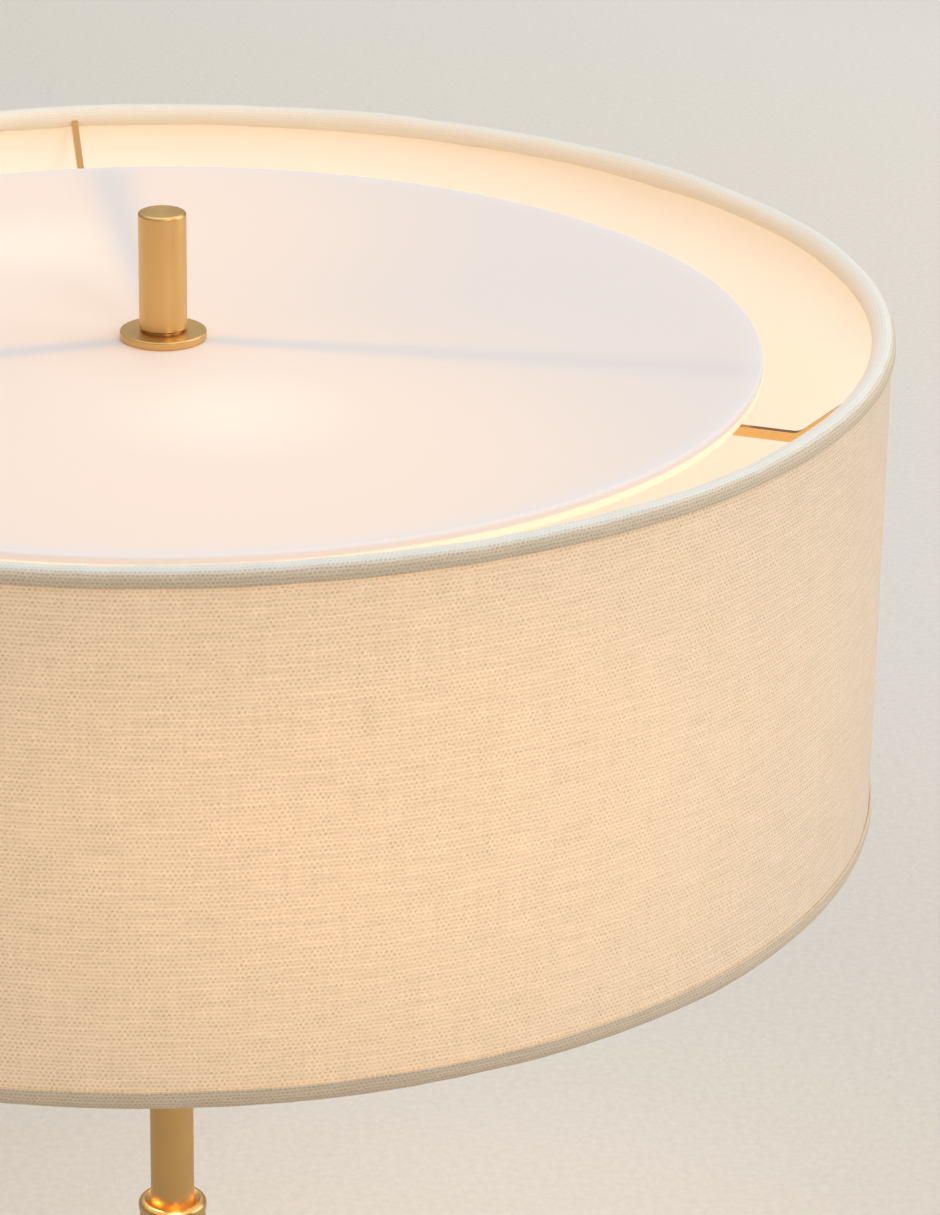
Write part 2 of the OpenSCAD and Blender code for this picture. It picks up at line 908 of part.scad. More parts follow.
base_cover();
base_weight();
base_pad();
cord_bushing();
base_nipple();
base_washer();
base_nut();
stem_foot();
stem_coupling();
lower_stem();
stem_collar();
upper_stem();
stem_lead();
cluster_body();
cluster_cap();
riser_rod();
rod_nuts();
spider_seat();
switch_body();
switch_nut();
switch_shaft();
switch_knob();
wire_caps();
socket_nipple(false);  // socket_nipple_front
socket_nipple(true);  // socket_nipple_back
socket_cap(false);  // socket_cap_front
socket_cap(true);  // socket_cap_back
socket_shell(false);  // socket_shell_front
socket_shell(true);  // socket_shell_back
socket_insulator(false);  // socket_insulator_front
socket_insulator(true);  // socket_insulator_back
screw_shell(false);  // screw_shell_front
screw_shell(true);  // screw_shell_back
bulb_foot_piece(false);  // bulb_foot_front
bulb_foot_piece(true);  // bulb_foot_back
bulb_base(false);  // bulb_base_front
bulb_base(true);  // bulb_base_back
bulb_housing(false);  // bulb_housing_front
bulb_housing(true);  // bulb_housing_back
led_board(false);  // led_board_front
led_board(true);  // led_board_back
bulb_globe(false);  // bulb_globe_front
bulb_globe(true);  // bulb_globe_back
spider_hub();
spider_arms();
top_ring();
bottom_ring();
shade_liner();
shade_cover();
top_trim();
bottom_trim();
diffuser_disc();
finial_washer();
finial();
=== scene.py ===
import math

import bpy
from mathutils import Matrix, Vector, noise


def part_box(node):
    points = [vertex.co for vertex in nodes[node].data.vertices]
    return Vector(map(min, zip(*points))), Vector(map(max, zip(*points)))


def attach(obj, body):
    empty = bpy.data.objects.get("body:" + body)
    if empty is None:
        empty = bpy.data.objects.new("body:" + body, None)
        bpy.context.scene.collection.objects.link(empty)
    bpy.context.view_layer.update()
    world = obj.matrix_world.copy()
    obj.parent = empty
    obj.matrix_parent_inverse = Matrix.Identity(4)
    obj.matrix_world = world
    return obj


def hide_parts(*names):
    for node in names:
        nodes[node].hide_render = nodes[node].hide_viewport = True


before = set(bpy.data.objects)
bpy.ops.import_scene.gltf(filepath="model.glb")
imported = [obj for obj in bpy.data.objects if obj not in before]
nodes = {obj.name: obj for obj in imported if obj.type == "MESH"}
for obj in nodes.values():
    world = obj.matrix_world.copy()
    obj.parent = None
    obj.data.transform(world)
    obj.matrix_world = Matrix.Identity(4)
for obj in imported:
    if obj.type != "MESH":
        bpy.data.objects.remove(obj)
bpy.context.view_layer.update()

# Lengths are in metres, in the frame's own axes
MM = 0.001

# Places read from the frame
rim_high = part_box("top_trim")[1]
hem_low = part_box("bottom_trim")[0]
wire_low, wire_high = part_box("top_ring")
disc_low, disc_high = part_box("diffuser_disc")
rim_r = rim_high.x
rim_z = (wire_low.z + wire_high.z) / 2
low_wire_z = sum(corner.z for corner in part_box("bottom_ring")) / 2
cover_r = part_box("shade_cover")[1].x
liner_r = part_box("shade_liner")[1].x
shade_mid_z = (rim_high.z + hem_low.z) / 2
shade_h = rim_high.z - hem_low.z
disc_r = disc_high.x

# Woven cloth and its folds
WARP_PITCH = 0.683 * MM
WEFT_PITCH = 1.093 * MM
CLOTH_T = 0.6 * MM
TRIM_T = 0.7 * MM
TOP_BAND_H = 4.5 * MM
LOW_BAND_H = 5.6 * MM
LINER_T = 0.5 * MM

# A mesh round the shade has this many steps
AROUND = 720
FULL_TURN = 2 * math.pi

# Light through the cover: its level away from the bulbs, what a bulb adds, and how narrowly
BULB_AZIMUTHS = (-75, 110)
GLOW_BASE, GLOW_GAIN, GLOW_FOCUS = 0.30, 0.76, 3.24

# Light through the disc: spots over the bulbs, and the arms' shadows, which widen outwards
HOT_SPOTS = ((0.016, -0.063), (-0.040, 0.085))
WARM_SPOTS = ((0.010, -0.090), (-0.040, 0.100))
HOT_SPOT_R, WARM_SPOT_R = 0.03, 0.11
SHADOW_AZIMUTHS = (-11, 96, -164)
SHADOW_W, SHADOW_SPREAD = 3.5 * MM, 0.03

# The disc's edge glows like its top down to this depth, and its glow turns warm over the next
# length
DISC_FACE_T, DISC_TURN_H = 1.9 * MM, 0.4 * MM
# The liner's glow starts this far under the disc
LINER_GLOW_DEPTH = 12 * MM
# Polished brass beyond this radius is the spider's arms
ARM_START_R = 40 * MM


# Camera and light

def aim_camera():
    """The photograph's view: its pitch, roll and yaw, and its place beside the lamp."""
    pitch, roll, yaw = math.radians(22.101), math.radians(0.941), math.radians(4.126)
    frame_height, focal_pixels, sensor = 1215, 4545.7, 36.0
    turn = Matrix.Rotation(roll, 3, "Z") @ Matrix(
        ((1, 0, 0), (0, -math.sin(pitch), -math.cos(pitch)), (0, math.cos(pitch), -math.sin(pitch)))
    ) @ Matrix.Rotation(yaw, 3, "Z")
    data = bpy.data.cameras.new("camera")
    data.sensor_width = sensor
    data.lens = focal_pixels / frame_height * sensor
    data.clip_start, data.clip_end = 0.05, 200
    camera = bpy.data.objects.new("camera", data)
    axes = Matrix((turn[0], -turn[1], -turn[2])).transposed()
    camera.matrix_world = Matrix.Translation((0, -1.20503, rim_z + 0.40112)) @ axes.to_4x4()
    bpy.context.scene.collection.objects.link(camera)
    bpy.context.scene.camera = camera


def soft_light(name, place, target, size, power, colour):
    """A square soft light at a place, turned to a target."""
    data = bpy.data.lights.new(name, "AREA")
    data.shape, data.size, data.energy, data.color = "SQUARE", size, power, colour
    light = bpy.data.objects.new(name, data)
    light.location = place
    light.rotation_mode = "QUATERNION"
    light.rotation_quaternion = (Vector(target) - Vector(place)).to_track_quat("-Z", "Y")
    bpy.context.scene.collection.objects.link(light)


def bulb_light(name, globe, power):
    """The light that one bulb throws down through the shade, carried by its globe."""
    low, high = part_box(globe)
    data = bpy.data.lights.new(name, "SPOT")
    data.energy, data.color, data.shadow_soft_size = power, (1.0, 0.66, 0.34), 0.03
    data.spot_size, data.spot_blend = math.radians(150), 0.6
    light = bpy.data.objects.new(name, data)
    light.location = ((low.x + high.x) / 2, (low.y + high.y) / 2, low.z - 8 * MM)
    light.parent = nodes[globe]
    bpy.context.scene.collection.objects.link(light)


# Materials

class Paint:
    """A material's node tree, with short calls for the nodes that the finishes use."""

    def __init__(self, name):
        self.material = bpy.data.materials.new(name)
        self.material.use_nodes = True
        self.tree = self.material.node_tree
        self.shader = self.tree.nodes["Principled BSDF"]

    def feed(self, socket, value):
        if isinstance(value, bpy.types.NodeSocket):
            self.tree.links.new(value, socket)
        else:
            socket.default_value = value

    def add(self, kind, settings=None, **inputs):
        node = self.tree.nodes.new(kind)
        for key, value in (settings or {}).items():
            setattr(node, key, value)
        for key, value in inputs.items():
            self.feed(node.inputs[key.replace("_", " ")], value)
        return node

    def set(self, **inputs):
        for key, value in inputs.items():
            self.feed(self.shader.inputs[key.replace("_", " ")], value)

    def math(self, operation, *values):
        node = self.add("ShaderNodeMath", {"operation": operation})
        for socket, value in zip(node.inputs, values):
            self.feed(socket, value)
        return node.outputs[0]

    def place(self):
        """The point's place in the object's own frame, which is the CAD frame."""
        return self.add("ShaderNodeTexCoord").outputs["Object"]

    def parts(self, vector):
        split = self.add("ShaderNodeSeparateXYZ", Vector=vector)
        return split.outputs

    def join(self, x, y, z):
        return self.add("ShaderNodeCombineXYZ", X=x, Y=y, Z=z).outputs[0]

    def scaled(self, vector, scale):
        node = self.add("ShaderNodeVectorMath", {"operation": "MULTIPLY"})
        self.feed(node.inputs[0], vector)
        node.inputs[1].default_value = scale
        return node.outputs[0]

    def distance(self, vector, point):
        node = self.add("ShaderNodeVectorMath", {"operation": "DISTANCE"})
        self.feed(node.inputs[0], vector)
        node.inputs[1].default_value = point
        return node.outputs["Value"]

    def radius(self, place):
        """A place's distance from the lamp's axis."""
        return self.distance(self.scaled(place, (1, 1, 0)), (0, 0, 0))

    def toward(self, x, y, azimuth, length=1.0):
        """How far a place lies towards an azimuth, measured in a length."""
        angle = math.radians(azimuth)
        return self.math(
            "ADD",
            self.math("MULTIPLY", x, math.cos(angle) / length),
            self.math("MULTIPLY", y, math.sin(angle) / length),
        )

    def noise(self, vector, scale, detail=2.0, roughness=0.5):
        return self.add(
            "ShaderNodeTexNoise", Vector=vector, Scale=scale, Detail=detail, Roughness=roughness
        ).outputs["Fac"]

    def ramp(self, value, *stops):
        """A colour ramp of (place, colour) stops."""
        node = self.add("ShaderNodeValToRGB", Fac=value)
        elements = node.color_ramp.elements
        while len(elements) < len(stops):
            elements.new(0.5)
        for element, (at, colour) in zip(elements, stops):
            element.position, element.color = at, (*colour, 1)
        return node.outputs["Color"]

    def spread(self, value, low, high):
        """A value from 0 to 1, spread from low to high."""
        return self.math("MULTIPLY_ADD", value, high - low, low)

    def clamped(self, value):
        """A value held between 0 and 1."""
        return self.math("MINIMUM", 1.0, self.math("MAXIMUM", 0.0, value))

    def mix(self, share, first, second):
        """A colour between two colours, each a socket or a tuple."""
        node = self.add("ShaderNodeMix", {"data_type": "RGBA"})
        sockets = (node.inputs[0], node.inputs[6], node.inputs[7])
        for socket, value in zip(sockets, (share, first, second)):
            self.feed(socket, (*value, 1) if isinstance(value, tuple) else value)
        return node.outputs[2]

    def bump(self, height, distance, strength=1.0):
        self.set(
            Normal=self.add(
                "ShaderNodeBump", Height=height, Distance=distance, Strength=strength
            ).outputs["Normal"]
        )


def bell(paint, distance, width):
    """A smooth hill, 1 at no distance, that falls off over a width."""
    share = paint.math("DIVIDE", distance, width)
    square = paint.math("MULTIPLY", share, share)
    return paint.math("POWER", math.e, paint.math("MULTIPLY", square, -1.0))


def weave(paint, fineness=1.0):
    """The plain weave's brightness, from 0 in its holes to 1 on its threads, on the cloth's map.
    The threads wander, and the holes between them differ in size, as in linen."""
    across, along, _ = paint.parts(paint.add("ShaderNodeUVMap", {"uv_map": "weave"}).outputs[0])
    flat = paint.join(across, along, 0.0)
    drift = paint.noise(flat, 55.0, 1.0)
    jitter = paint.noise(flat, 520.0, 1.0)
    u = paint.math("DIVIDE", across, WARP_PITCH / fineness)
    u = paint.math("MULTIPLY_ADD", drift, 0.5, u)
    u = paint.math("MULTIPLY_ADD", jitter, 1.5, u)
    v = paint.math("DIVIDE", along, WEFT_PITCH / fineness)
    v = paint.math("MULTIPLY_ADD", drift, 0.6, v)
    v = paint.math("MULTIPLY_ADD", jitter, 0.7, v)
    rows = paint.math("COSINE", paint.math("MULTIPLY", v, FULL_TURN))
    check = paint.math(
        "MULTIPLY",
        paint.math("COSINE", paint.math("MULTIPLY", u, math.pi)),
        paint.math("COSINE", paint.math("MULTIPLY", v, math.pi)),
    )
    size = paint.spread(paint.noise(paint.join(u, v, 3.0), 0.45, 1.0), -0.7, 2.3)
    sized = paint.math("MULTIPLY", paint.math("MULTIPLY", check, size), 0.28)
    holes = paint.math("MULTIPLY_ADD", rows, 0.18, sized)
    slubs = paint.noise(paint.join(paint.math("MULTIPLY", u, 0.05), v, 0.0), 1.0, 2.0, 0.6)
    ends = paint.noise(paint.join(u, paint.math("MULTIPLY", v, 0.06), 7.0), 1.0, 2.0, 0.6)
    grain = paint.math("ADD", paint.spread(slubs, -0.32, 0.32), paint.spread(ends, -0.2, 0.2))
    return paint.math("ADD", paint.math("SUBTRACT", 0.5, holes), grain)


def glow_on_shade(paint, place):
    """How much light comes through the shade: most beside a bulb, and less towards its edges."""
    x, y, height = paint.parts(place)
    glow = GLOW_BASE
    for azimuth in BULB_AZIMUTHS:
        facing = paint.toward(x, y, azimuth, cover_r)
        power = paint.math("MULTIPLY_ADD", facing, GLOW_FOCUS, -GLOW_FOCUS)
        glow = paint.math("MULTIPLY_ADD", paint.math("POWER", math.e, power), GLOW_GAIN, glow)
    from_middle = paint.math("ABSOLUTE", paint.math("SUBTRACT", height, shade_mid_z))
    return paint.math("MULTIPLY", glow, bell(paint, from_middle, shade_h))


def shade_linen():
    paint = Paint("shade_linen")
    thread = weave(paint)
    place = paint.place()
    cloud = paint.noise(place, 22.0, 3.0)
    glow = glow_on_shade(paint, place)
    glow = paint.math("MULTIPLY", glow, paint.spread(thread, 0.56, 1.44))
    glow = paint.math("MULTIPLY", glow, paint.spread(cloud, 0.94, 1.06))
    paint.set(
        Base_Color=paint.ramp(thread, (0.0, (0.53, 0.50, 0.375)), (1.0, (0.71, 0.65, 0.625))),
        Roughness=0.85,
        Sheen_Weight=0.05,
        Emission_Color=(0.50, 0.27, 0.095, 1),
        Emission_Strength=glow,
    )
    paint.bump(thread, 0.1 * MM, 0.5)
    return paint.material


def trim_linen():
    """The ring wire in the fold keeps the lamp's light off, so the trim glows mainly on its inner
    side. The cloth is pulled smooth over the wire, where its holes close up. The room's light and
    shade are painted in: the crest over the wire is painted paler, as lit from above, and the outer
    flank painted darker, as shade."""
    paint = Paint("trim_linen")
    radius = paint.radius(paint.place())
    thread = weave(paint, 1.15)
    flank_in, flank_w, inner_in, inner_w = 1.5 * MM, 0.9 * MM, 3.4 * MM, 3 * MM
    flank = paint.math("DIVIDE", paint.math("SUBTRACT", radius, rim_r - flank_in), flank_w)
    flank = paint.clamped(paint.math("ADD", flank, paint.spread(thread, 0.35, -0.35)))
    inner = paint.math("DIVIDE", paint.math("SUBTRACT", rim_r - inner_in, radius), inner_w)
    inner = paint.math("MAXIMUM", 0.0, inner)
    # Painted shade and light: the outer flank is painted darker, and the crest over the wire paler
    # and cooler, as the room's light falls from above
    painted_flank_shade = paint.ramp(thread, (0.0, (0.38, 0.34, 0.275)), (1.0, (0.70, 0.65, 0.56)))
    crest = paint.ramp(thread, (0.0, (0.66, 0.665, 0.62)), (1.0, (0.80, 0.805, 0.765)))
    paint.set(
        Base_Color=paint.mix(flank, crest, painted_flank_shade),
        Roughness=0.9,
        Sheen_Weight=0.05,
        Emission_Color=(0.50, 0.27, 0.08, 1),
        Emission_Strength=paint.math("MULTIPLY_ADD", inner, 0.5, paint.spread(flank, 0.05, 0.28)),
    )
    paint.bump(paint.math("MULTIPLY", thread, paint.spread(flank, 0.3, 1.0)), 0.12 * MM, 0.6)
    return paint.material


def liner_film():
    """The liner glows most beside the disc and turns peach under the rim."""
    paint = Paint("liner_film")
    place = paint.place()
    height = paint.parts(place)[2]
    foot_z = disc_low.z - LINER_GLOW_DEPTH
    up = paint.math("DIVIDE", paint.math("SUBTRACT", height, foot_z), rim_z - foot_z)
    beside, above, under_rim = (0.65, 0.50, 0.45), (0.62, 0.42, 0.29), (0.58, 0.30, 0.08)
    glow = paint.ramp(up, (0.0, beside), (0.6, above), (1.0, under_rim))
    cloud = paint.noise(place, 14.0, 2.0)
    patches = paint.ramp(cloud, (0.3, (0.52, 0.4, 0.25)), (0.7, (0.66, 0.52, 0.34)))
    paint.set(
        Base_Color=(0.80, 0.76, 0.68, 1),
        Roughness=0.6,
        Emission_Color=paint.mix(0.3, glow, patches),
        Emission_Strength=0.7,
    )
    paint.bump(paint.noise(place, 900.0, 2.0), 0.02 * MM, 0.4)
    return paint.material


def frosted_acrylic():
    """The diffuser glows most over the bulbs, and the arms under it shade it in soft streaks."""
    paint = Paint("frosted_acrylic")
    place = paint.place()
    x, y, z = paint.parts(place)
    flat = paint.join(x, y, 0.0)
    hot = warm = 0.0
    for spot, middle in zip(HOT_SPOTS, WARM_SPOTS):
        near = paint.distance(flat, (*spot, 0))
        hot = paint.math("ADD", bell(paint, near, HOT_SPOT_R), hot)
        far = paint.math("DIVIDE", paint.distance(flat, (*middle, 0)), WARM_SPOT_R)
        warm = paint.math("ADD", bell(paint, paint.math("POWER", far, 2.0), 1.0), warm)
    shadow = 0.0
    for azimuth in SHADOW_AZIMUTHS:
        along = paint.toward(x, y, azimuth)
        aside = paint.toward(x, y, azimuth + 90)
        width = paint.math("MULTIPLY_ADD", paint.math("ABSOLUTE", along), SHADOW_SPREAD, SHADOW_W)
        ahead = paint.math("GREATER_THAN", along, 0.0)
        streak = paint.math("MULTIPLY", bell(paint, aside, width), ahead)
        shadow = paint.math("ADD", streak, shadow)
    glow = paint.mix(warm, (0.10, 0.045, 0.03), (0.25, 0.10, 0.015))
    glow = paint.mix(hot, glow, (0.30, 0.19, 0.085))
    glow = paint.mix(paint.math("MULTIPLY", shadow, 0.8), glow, (0.03, 0.01, 0.03))
    # Painted shade: near the disc's rim the glow dims to a lavender grey, where the bulbs' light
    # reaches it at a grazing angle
    edge = bell(paint, paint.math("SUBTRACT", disc_r, paint.distance(flat, (0, 0, 0))), 0.005)
    glow = paint.mix(paint.math("MULTIPLY", edge, 0.7), glow, (0.12, 0.10, 0.12))
    # Painted light: the disc's side glows peach from the bulbs' light, slightly brighter lower down
    face_z = disc_high.z - DISC_FACE_T
    under = paint.math("SUBTRACT", face_z, z)
    side = paint.clamped(paint.math("DIVIDE", under, DISC_TURN_H))
    low = paint.math("MINIMUM", 1.0, paint.math("DIVIDE", under, face_z - disc_low.z))
    glow = paint.mix(side, glow, paint.mix(low, (0.56, 0.30, 0.13), (0.58, 0.35, 0.16)))
    paint.set(
        Base_Color=(0.70, 0.69, 0.68, 1),
        Roughness=0.55,
        Emission_Color=glow,
        Emission_Strength=1.0,
    )
    paint.bump(paint.noise(place, 1500.0, 2.0), 0.01 * MM, 0.5)
    return paint.material


def metal(name, colour, roughness, turned=0.0, tint=None, painted_top_shade=None):
    """A satin metal. Turned metal has fine rings round the lamp's axis, which draw its highlights
    out across them. Painted shade: the upward faces of the spider's arms can be painted a darker
    colour, as shade."""
    paint = Paint(name)
    place = paint.place()
    cloud = paint.noise(place, 60.0, 4.0, 0.6)
    tone = paint.mix(cloud, tuple(0.9 * c for c in colour), tint or colour)
    if painted_top_shade:
        # Painted shade: the arms' upward faces, beyond the hub, take the darker colour
        up = paint.parts(paint.add("ShaderNodeNewGeometry").outputs["Normal"])[2]
        on_arm = paint.math("GREATER_THAN", paint.radius(place), ARM_START_R)
        on_top = paint.math("MULTIPLY", on_arm, paint.math("GREATER_THAN", up, 0.6))
        tone = paint.mix(on_top, tone, painted_top_shade)
    paint.set(
        Base_Color=tone,
        Metallic=1.0,
        Roughness=paint.spread(cloud, roughness - 0.05, roughness + 0.05),
    )
    if turned:
        height = paint.parts(place)[2]
        across = paint.scaled(paint.join(paint.radius(place), 0.0, height), (9000, 1, 9000))
        paint.set(
            Anisotropic=turned,
            Anisotropic_Rotation=0.25,
            Tangent=paint.add(
                "ShaderNodeTangent", {"direction_type": "RADIAL", "axis": "Z"}
            ).outputs[0],
        )
        paint.bump(paint.noise(across, 1.0, 3.0, 0.7), 0.008 * MM, 0.2)
    return paint.material


def plastic(name, colour, roughness, grain=800.0, coat=0.0):
    """Moulded plastic or enamel, with a faint grain and slow changes of tone."""
    paint = Paint(name)
    place = paint.place()
    darker = tuple(0.9 * c for c in colour)
    paler = tuple(min(1.0, 1.06 * c) for c in colour)
    paint.set(
        Base_Color=paint.mix(paint.noise(place, 45.0, 3.0), darker, paler),
        Roughness=paint.spread(paint.noise(place, 90.0, 2.0), roughness - 0.06, roughness + 0.06),
        Coat_Weight=coat,
    )
    paint.bump(paint.noise(place, grain, 3.0), 0.01 * MM, 0.5)
    return paint.material


def glowing(name, colour, glow, strength):
    """A lit bulb part, with slow changes of brightness."""
    paint = Paint(name)
    cloud = paint.noise(paint.place(), 70.0, 2.0)
    paint.set(
        Base_Color=(*colour, 1),
        Roughness=0.4,
        Emission_Color=paint.mix(cloud, glow, tuple(0.93 * c for c in glow)),
        Emission_Strength=strength,
    )
    return paint.material


def felt():
    """Pressed wool felt, with short fibres."""
    paint = Paint("felt")
    place = paint.place()
    fibres = paint.noise(paint.scaled(place, (1600, 500, 900)), 1.0, 4.0, 0.7)
    paint.set(
        Base_Color=paint.ramp(fibres, (0.3, (0.035, 0.033, 0.03)), (0.75, (0.085, 0.08, 0.075))),
        Roughness=0.95,
        Sheen_Weight=0.4,
    )
    paint.bump(fibres, 0.25 * MM, 0.8)
    return paint.material


def cast_iron():
    """Grey casting with a coarse sand skin."""
    paint = Paint("cast_iron")
    place = paint.place()
    sand = paint.noise(place, 500.0, 4.0, 0.7)
    paint.set(
        Base_Color=paint.ramp(sand, (0.3, (0.05, 0.05, 0.052)), (0.7, (0.11, 0.11, 0.115))),
        Metallic=0.6,
        Roughness=paint.spread(sand, 0.5, 0.8),
    )
    paint.bump(sand, 0.2 * MM, 0.8)
    return paint.material


FINISHES = {
    "satin_brass": lambda: metal(
        "satin_brass", (0.78, 0.49, 0.19), 0.38, turned=0.2, tint=(0.80, 0.52, 0.21)
    ),
    "polished_brass": lambda: metal(
        "polished_brass", (0.82, 0.54, 0.22), 0.26, turned=0.2, painted_top_shade=(0.40, 0.23, 0.09)
    ),
    "zinc_steel": lambda: metal("zinc_steel", (0.56, 0.57, 0.58), 0.38),
    "cast_iron": cast_iron,
    "felt": felt,
    "black_plastic": lambda: plastic("black_plastic", (0.03, 0.03, 0.032), 0.5),
    "lead_sheath": lambda: plastic("lead_sheath", (0.66, 0.62, 0.54), 0.45, 300.0),
    "cap_plastic": lambda: plastic("cap_plastic", (0.62, 0.52, 0.36), 0.4),
    "phenolic": lambda: plastic("phenolic", (0.025, 0.025, 0.03), 0.35, coat=0.2),
    "contact_brass": lambda: metal("contact_brass", (0.74, 0.56, 0.28), 0.3),
    "black_glass": lambda: plastic("black_glass", (0.02, 0.018, 0.016), 0.15, coat=0.6),
    "nickel": lambda: metal("nickel", (0.66, 0.64, 0.60), 0.25),
    "bulb_white": lambda: plastic("bulb_white", (0.78, 0.77, 0.74), 0.35, coat=0.3),
    "led_board": lambda: glowing("led_board", (0.7, 0.68, 0.6), (1.0, 0.85, 0.6), 0.9),
    "bulb_globe": lambda: glowing("bulb_globe", (0.55, 0.5, 0.42), (1.0, 0.80, 0.52), 0.85),
    "liner_film": liner_film,
    "shade_linen": shade_linen,
    "trim_linen": trim_linen,
    "frosted_acrylic": frosted_acrylic,
}


# Meshes

def new_object(name, points, faces, uvs=None):
    """A smooth mesh object from points and faces, with the cloth's map in metres if it has one."""
    mesh = bpy.data.meshes.new(name)
    mesh.from_pydata(points, [], faces)
    if uvs:
        layer = mesh.uv_layers.new(name="weave")
        for loop, uv in zip(layer.data, uvs):
            loop.uv = uv
    mesh.shade_smooth()
    mesh.validate()
    made = bpy.data.objects.new(name, mesh)
    bpy.context.scene.collection.objects.link(made)
    return made


def swept(name, sections, lengths, around, closed):
    """Joins closed sections, each a list of points, into one skin. lengths are the map places
    round a section, and around those of the sections. An open sweep's ends are capped."""
    count, wide = len(sections), len(sections[0])
    points = [p for section in sections for p in section]
    faces, uvs = [], []
    for i in range(count if closed else count - 1):
        a, b = i * wide, (i + 1) % count * wide
        for k in range(wide):
            n = (k + 1) % wide
            faces.append((a + k, b + k, b + n, a + n))
            uvs += [
                (around[i], lengths[k]),
                (around[i + 1], lengths[k]),
                (around[i + 1], lengths[k + 1]),
                (around[i], lengths[k + 1]),
            ]
    if not closed:
        for first, order in ((0, 1), ((count - 1) * wide, -1)):
            faces.append(tuple(range(first, first + wide))[::order])
            uvs += [(0.0, lengths[k]) for k in range(wide)]
    return new_object(name, points, faces, uvs)


def path_section(path, thickness):
    """A closed section of a sheet: the path is its outside, and its inside is the path moved in
    by the thickness. Returns its points as (r, z) and the map place of each."""
    count = len(path)
    inside = []
    for k, (r, z) in enumerate(path):
        before, after = path[max(k - 1, 0)], path[min(k + 1, count - 1)]
        run = Vector((after[0] - before[0], after[1] - before[1])).normalized()
        inside.append((r - run.y * thickness, z + run.x * thickness))
    lengths = [0.0]
    for p, q in zip(path, path[1:]):
        lengths.append(lengths[-1] + math.dist(p, q))
    section = path + inside[::-1]
    spread = lengths + lengths[::-1] + [lengths[0]]
    return section, spread


def wave(angle, size, turns, seed):
    """A smooth random wave round the shade, with about so many turns, that meets itself."""
    spot = Vector((math.cos(angle) * turns, math.sin(angle) * turns, seed))
    return noise.noise(spot) * size


def ring_point(angle, r, z):
    return (r * math.cos(angle), r * math.sin(angle), z)


def make_cover():
    """The woven cover: one stretched sheet round the liner, with a lap where its ends meet."""
    low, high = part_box("shade_cover")
    rows = 40
    lap, ramp, lap_rise = 12 * MM, 5 * MM, 0.45 * MM
    clear, swell_size = 0.08 * MM, 0.06 * MM
    seam = math.radians(128)
    heights = [low.z + (high.z - low.z) * i / rows for i in range(rows + 1)]
    total = FULL_TURN + lap / cover_r
    steps = AROUND + 24
    sections, around = [], []
    for i in range(steps + 1):
        share = i / steps
        turned = share * total
        over = (turned - (total - (lap + ramp) / cover_r)) / (ramp / cover_r)
        rise = lap_rise * min(1.0, max(0.0, over))
        angle = seam + turned
        outside, inside = [], []
        for z in heights:
            swell = swell_size * noise.noise(Vector(ring_point(angle, 9, z * 60)))
            outer = cover_r - clear + swell + rise
            outside.append(ring_point(angle, outer, z))
            inside.append(ring_point(angle, outer - CLOTH_T, z))
        sections.append(outside + inside[::-1])
        around.append(turned * cover_r)
    lengths = [z - low.z for z in heights]
    made = swept("shade_cloth", sections, lengths + lengths[::-1] + [0.0], around, False)
    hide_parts("shade_cover")
    return made


def trim_path(bead_r, band_h):
    """The trim's outside, from its lower edge up the cover, over the wire and in to the liner."""
    bead_ring_r = rim_r - bead_r
    liner_in = liner_r - LINER_T
    tuck = FULL_TURN - math.acos((liner_in - bead_ring_r) / bead_r)
    leaf, over = 8, 40
    path = [(rim_r, bead_r - band_h + (band_h - bead_r) * i / leaf) for i in range(leaf)]
    path += [
        (bead_ring_r + bead_r * math.cos(tuck * i / over), bead_r * math.sin(tuck * i / over))
        for i in range(over + 1)
    ]
    return path


def make_trim(name, node, wire_z, band_h, up, seed):
    """A folded strip of cloth over a ring wire, a little uneven as a hand-folded edge is."""
    low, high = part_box(node)
    bead_r = high.z - wire_z if up else wire_z - low.z
    section, lengths = path_section(trim_path(bead_r, band_h), TRIM_T)
    top = max(z for _, z in section)
    bottom = min(z for _, z in section)
    sections, around = [], []
    for i in range(AROUND + 1):
        angle = FULL_TURN * i / AROUND
        crest = wave(angle, 0.5 * MM, 5, seed) + wave(angle, 0.22 * MM, 22, seed + 3)
        hem = wave(angle, 0.45 * MM, 7, seed + 9) + wave(angle, 0.18 * MM, 40, seed + 12)
        puff = wave(angle, 0.3 * MM, 13, seed + 20)
        ring = []
        for r, z in section:
            share = (z - bottom) / (top - bottom)
            lift = crest * share ** 3 + hem * (1 - share) ** 2
            out = puff * math.sin(math.pi * share) * (r - (rim_r - 2 * bead_r)) / (2 * bead_r)
            height = z + lift
            ring.append(ring_point(angle, r + out, wire_z + (height if up else -height)))
        sections.append(ring)
        around.append(angle * rim_r)
    sections.pop()
    made = swept(name, sections, lengths, around, True)
    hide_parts(node)
    return made


def make_pad():
    """The felt pad: a cut disc with soft edges."""
    low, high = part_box("base_pad")
    radius = high.x
    rim, edge = 9 * MM, 0.5 * MM
    path = [
        (radius - rim, low.z), (radius - edge, low.z), (radius, low.z + edge), (radius, high.z)
    ]
    count = 180
    points = []
    for r, z in path:
        for i in range(count):
            angle = FULL_TURN * i / count
            points.append(ring_point(angle, r + wave(angle, 0.25 * MM, 20, 4), z))
    faces = [tuple(range(count))[::-1], tuple(range(3 * count, 4 * count))]
    for a in range(0, 3 * count, count):
        for i in range(count):
            n = (i + 1) % count
            faces.append((a + i, a + n, a + count + n, a + count + i))
    made = new_object("felt_pad", points, faces)
    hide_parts("base_pad")
    return made


def dress(made, slot, body, materials):
    """Gives a soft piece its material and its body."""
    made.data.materials.append(materials[slot])
    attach(made, body)


# Stage

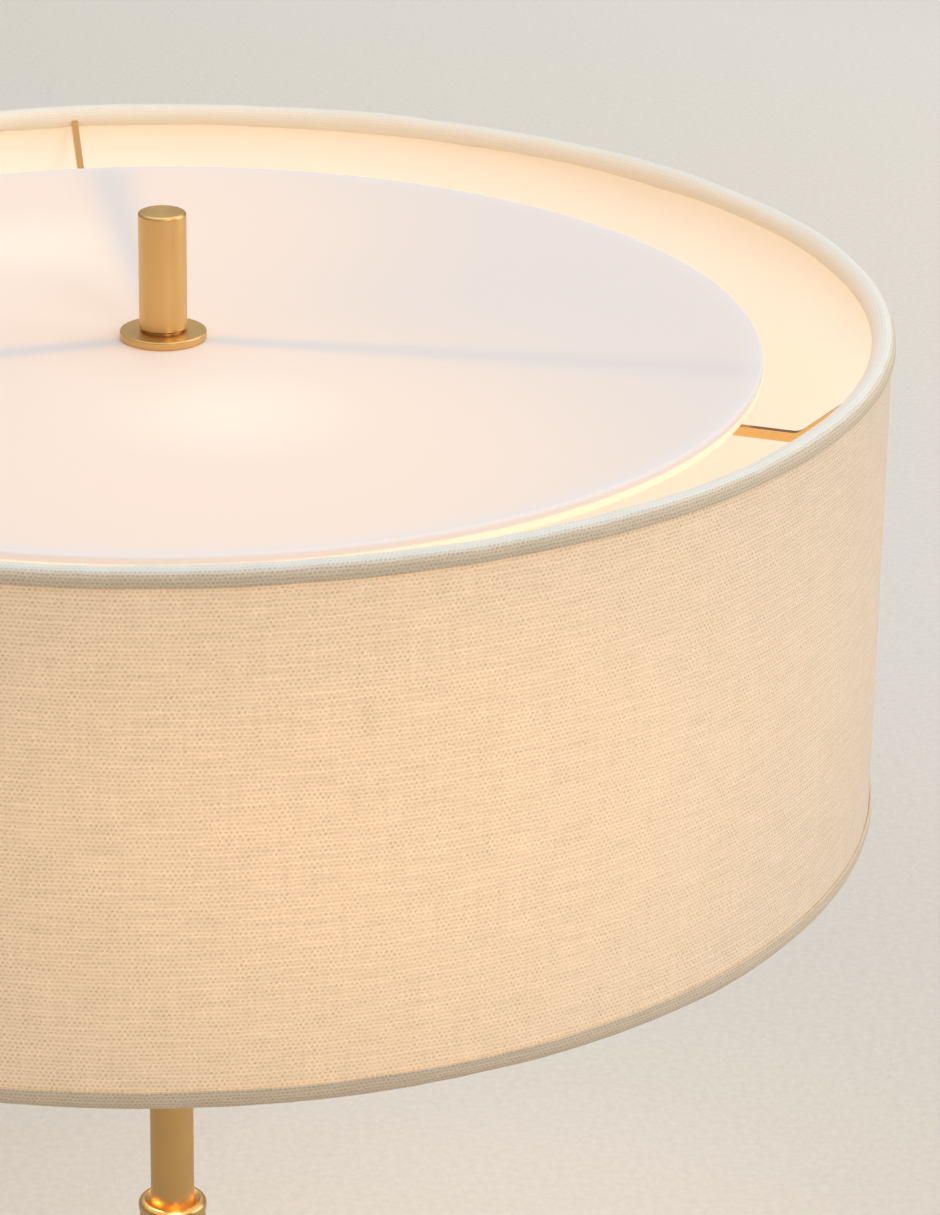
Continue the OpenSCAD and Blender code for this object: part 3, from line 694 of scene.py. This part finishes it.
def floor_material():
    """A pale floor. The camera sees it with painted shade, darker near the lamp and lighter away
    from it, and with a soft painted pool of the lamp's light.
    """
    paint = Paint("floor")
    place = paint.place()
    x, y, _ = paint.parts(place)
    # Painted shade: the floor is darker towards the lamp and the front, and lighter further off
    away = paint.math("MULTIPLY_ADD", x, 0.25, paint.math("MULTIPLY", y, 0.36))
    near, middle, far, last = (
        (0.53, 0.50, 0.455), (0.71, 0.685, 0.65), (0.86, 0.825, 0.76), (0.94, 0.91, 0.85)
    )
    shade = paint.ramp(away, (0.2, near), (0.5, middle), (0.84, far), (1.0, last))
    # Painted light: a soft pool of the lamp's light on the floor beside the stem
    light_pool_place, light_pool_r = (0.14, 0.50, 0.0), 0.2
    painted_light_pool = bell(paint, paint.distance(place, light_pool_place), light_pool_r)
    shade = paint.mix(paint.math("MULTIPLY", painted_light_pool, 0.3), shade, (0.92, 0.88, 0.84))
    grain = paint.noise(place, 260.0, 5.0, 0.7)
    speckle = paint.ramp(grain, (0.3, (0.5, 0.475, 0.44)), (0.7, (0.9, 0.87, 0.82)))
    seen = paint.mix(0.2, shade, speckle)
    camera_ray = paint.add("ShaderNodeLightPath").outputs["Is Camera Ray"]
    paint.set(Base_Color=paint.mix(camera_ray, (0.44, 0.43, 0.41), seen), Roughness=0.9)
    return paint.material


def make_stage():
    """The floor, the sky's soft light and three soft lamps."""
    half = 60.0
    corners = [(-half, -half, 0), (half, -half, 0), (half, half, 0), (-half, half, 0)]
    made = new_object("floor", corners, [(0, 1, 2, 3)])
    made.data.materials.append(floor_material())
    world = bpy.data.worlds.new("studio")
    world.use_nodes = True
    tree = world.node_tree
    height = tree.nodes.new("ShaderNodeSeparateXYZ")
    sky = tree.nodes.new("ShaderNodeValToRGB")
    tree.links.new(tree.nodes.new("ShaderNodeTexCoord").outputs["Generated"], height.inputs[0])
    tree.links.new(height.outputs["Z"], sky.inputs["Fac"])
    tree.links.new(sky.outputs["Color"], tree.nodes["Background"].inputs["Color"])
    for stop, at, level in zip(sky.color_ramp.elements, (0.0, 1.0), (0.2, 0.845)):
        stop.position, stop.color = at, (level, 0.985 * level, 0.96 * level, 1)
    tree.nodes["Background"].inputs["Strength"].default_value = 1.0
    bpy.context.scene.world = world
    soft_light("overhead", (0.3, 0.7, 2.7), (0, 0.3, 0.3), 3.0, 22, (1.0, 0.98, 0.95))
    soft_light("window", (2.3, 0.2, 1.3), (0, 0, 0.45), 2.2, 22, (1.0, 0.97, 0.93))
    soft_light("front", (1.3, -2.3, 1.9), (0, 0, 0.45), 0.9, 12, (1.0, 0.97, 0.93))


def main():
    bpy.context.scene.view_settings.view_transform = "Standard"
    aim_camera()
    materials = {slot: make() for slot, make in FINISHES.items()}
    for node in nodes.values():
        for place, painted_flank_shade in enumerate(node.data.materials):
            node.data.materials[place] = materials[painted_flank_shade.name.split(".")[0]]
    dress(make_cover(), "shade_linen", "shade", materials)
    top_binding = make_trim("top_binding", "top_trim", rim_z, TOP_BAND_H, True, 1)
    dress(top_binding, "trim_linen", "shade", materials)
    low_binding = make_trim("bottom_binding", "bottom_trim", low_wire_z, LOW_BAND_H, False, 5)
    dress(low_binding, "trim_linen", "shade", materials)
    dress(make_pad(), "felt", "stand", materials)
    bulb_light("front_glow", "bulb_globe_front", 2.4)
    bulb_light("back_glow", "bulb_globe_back", 2.4)
    make_stage()


main()
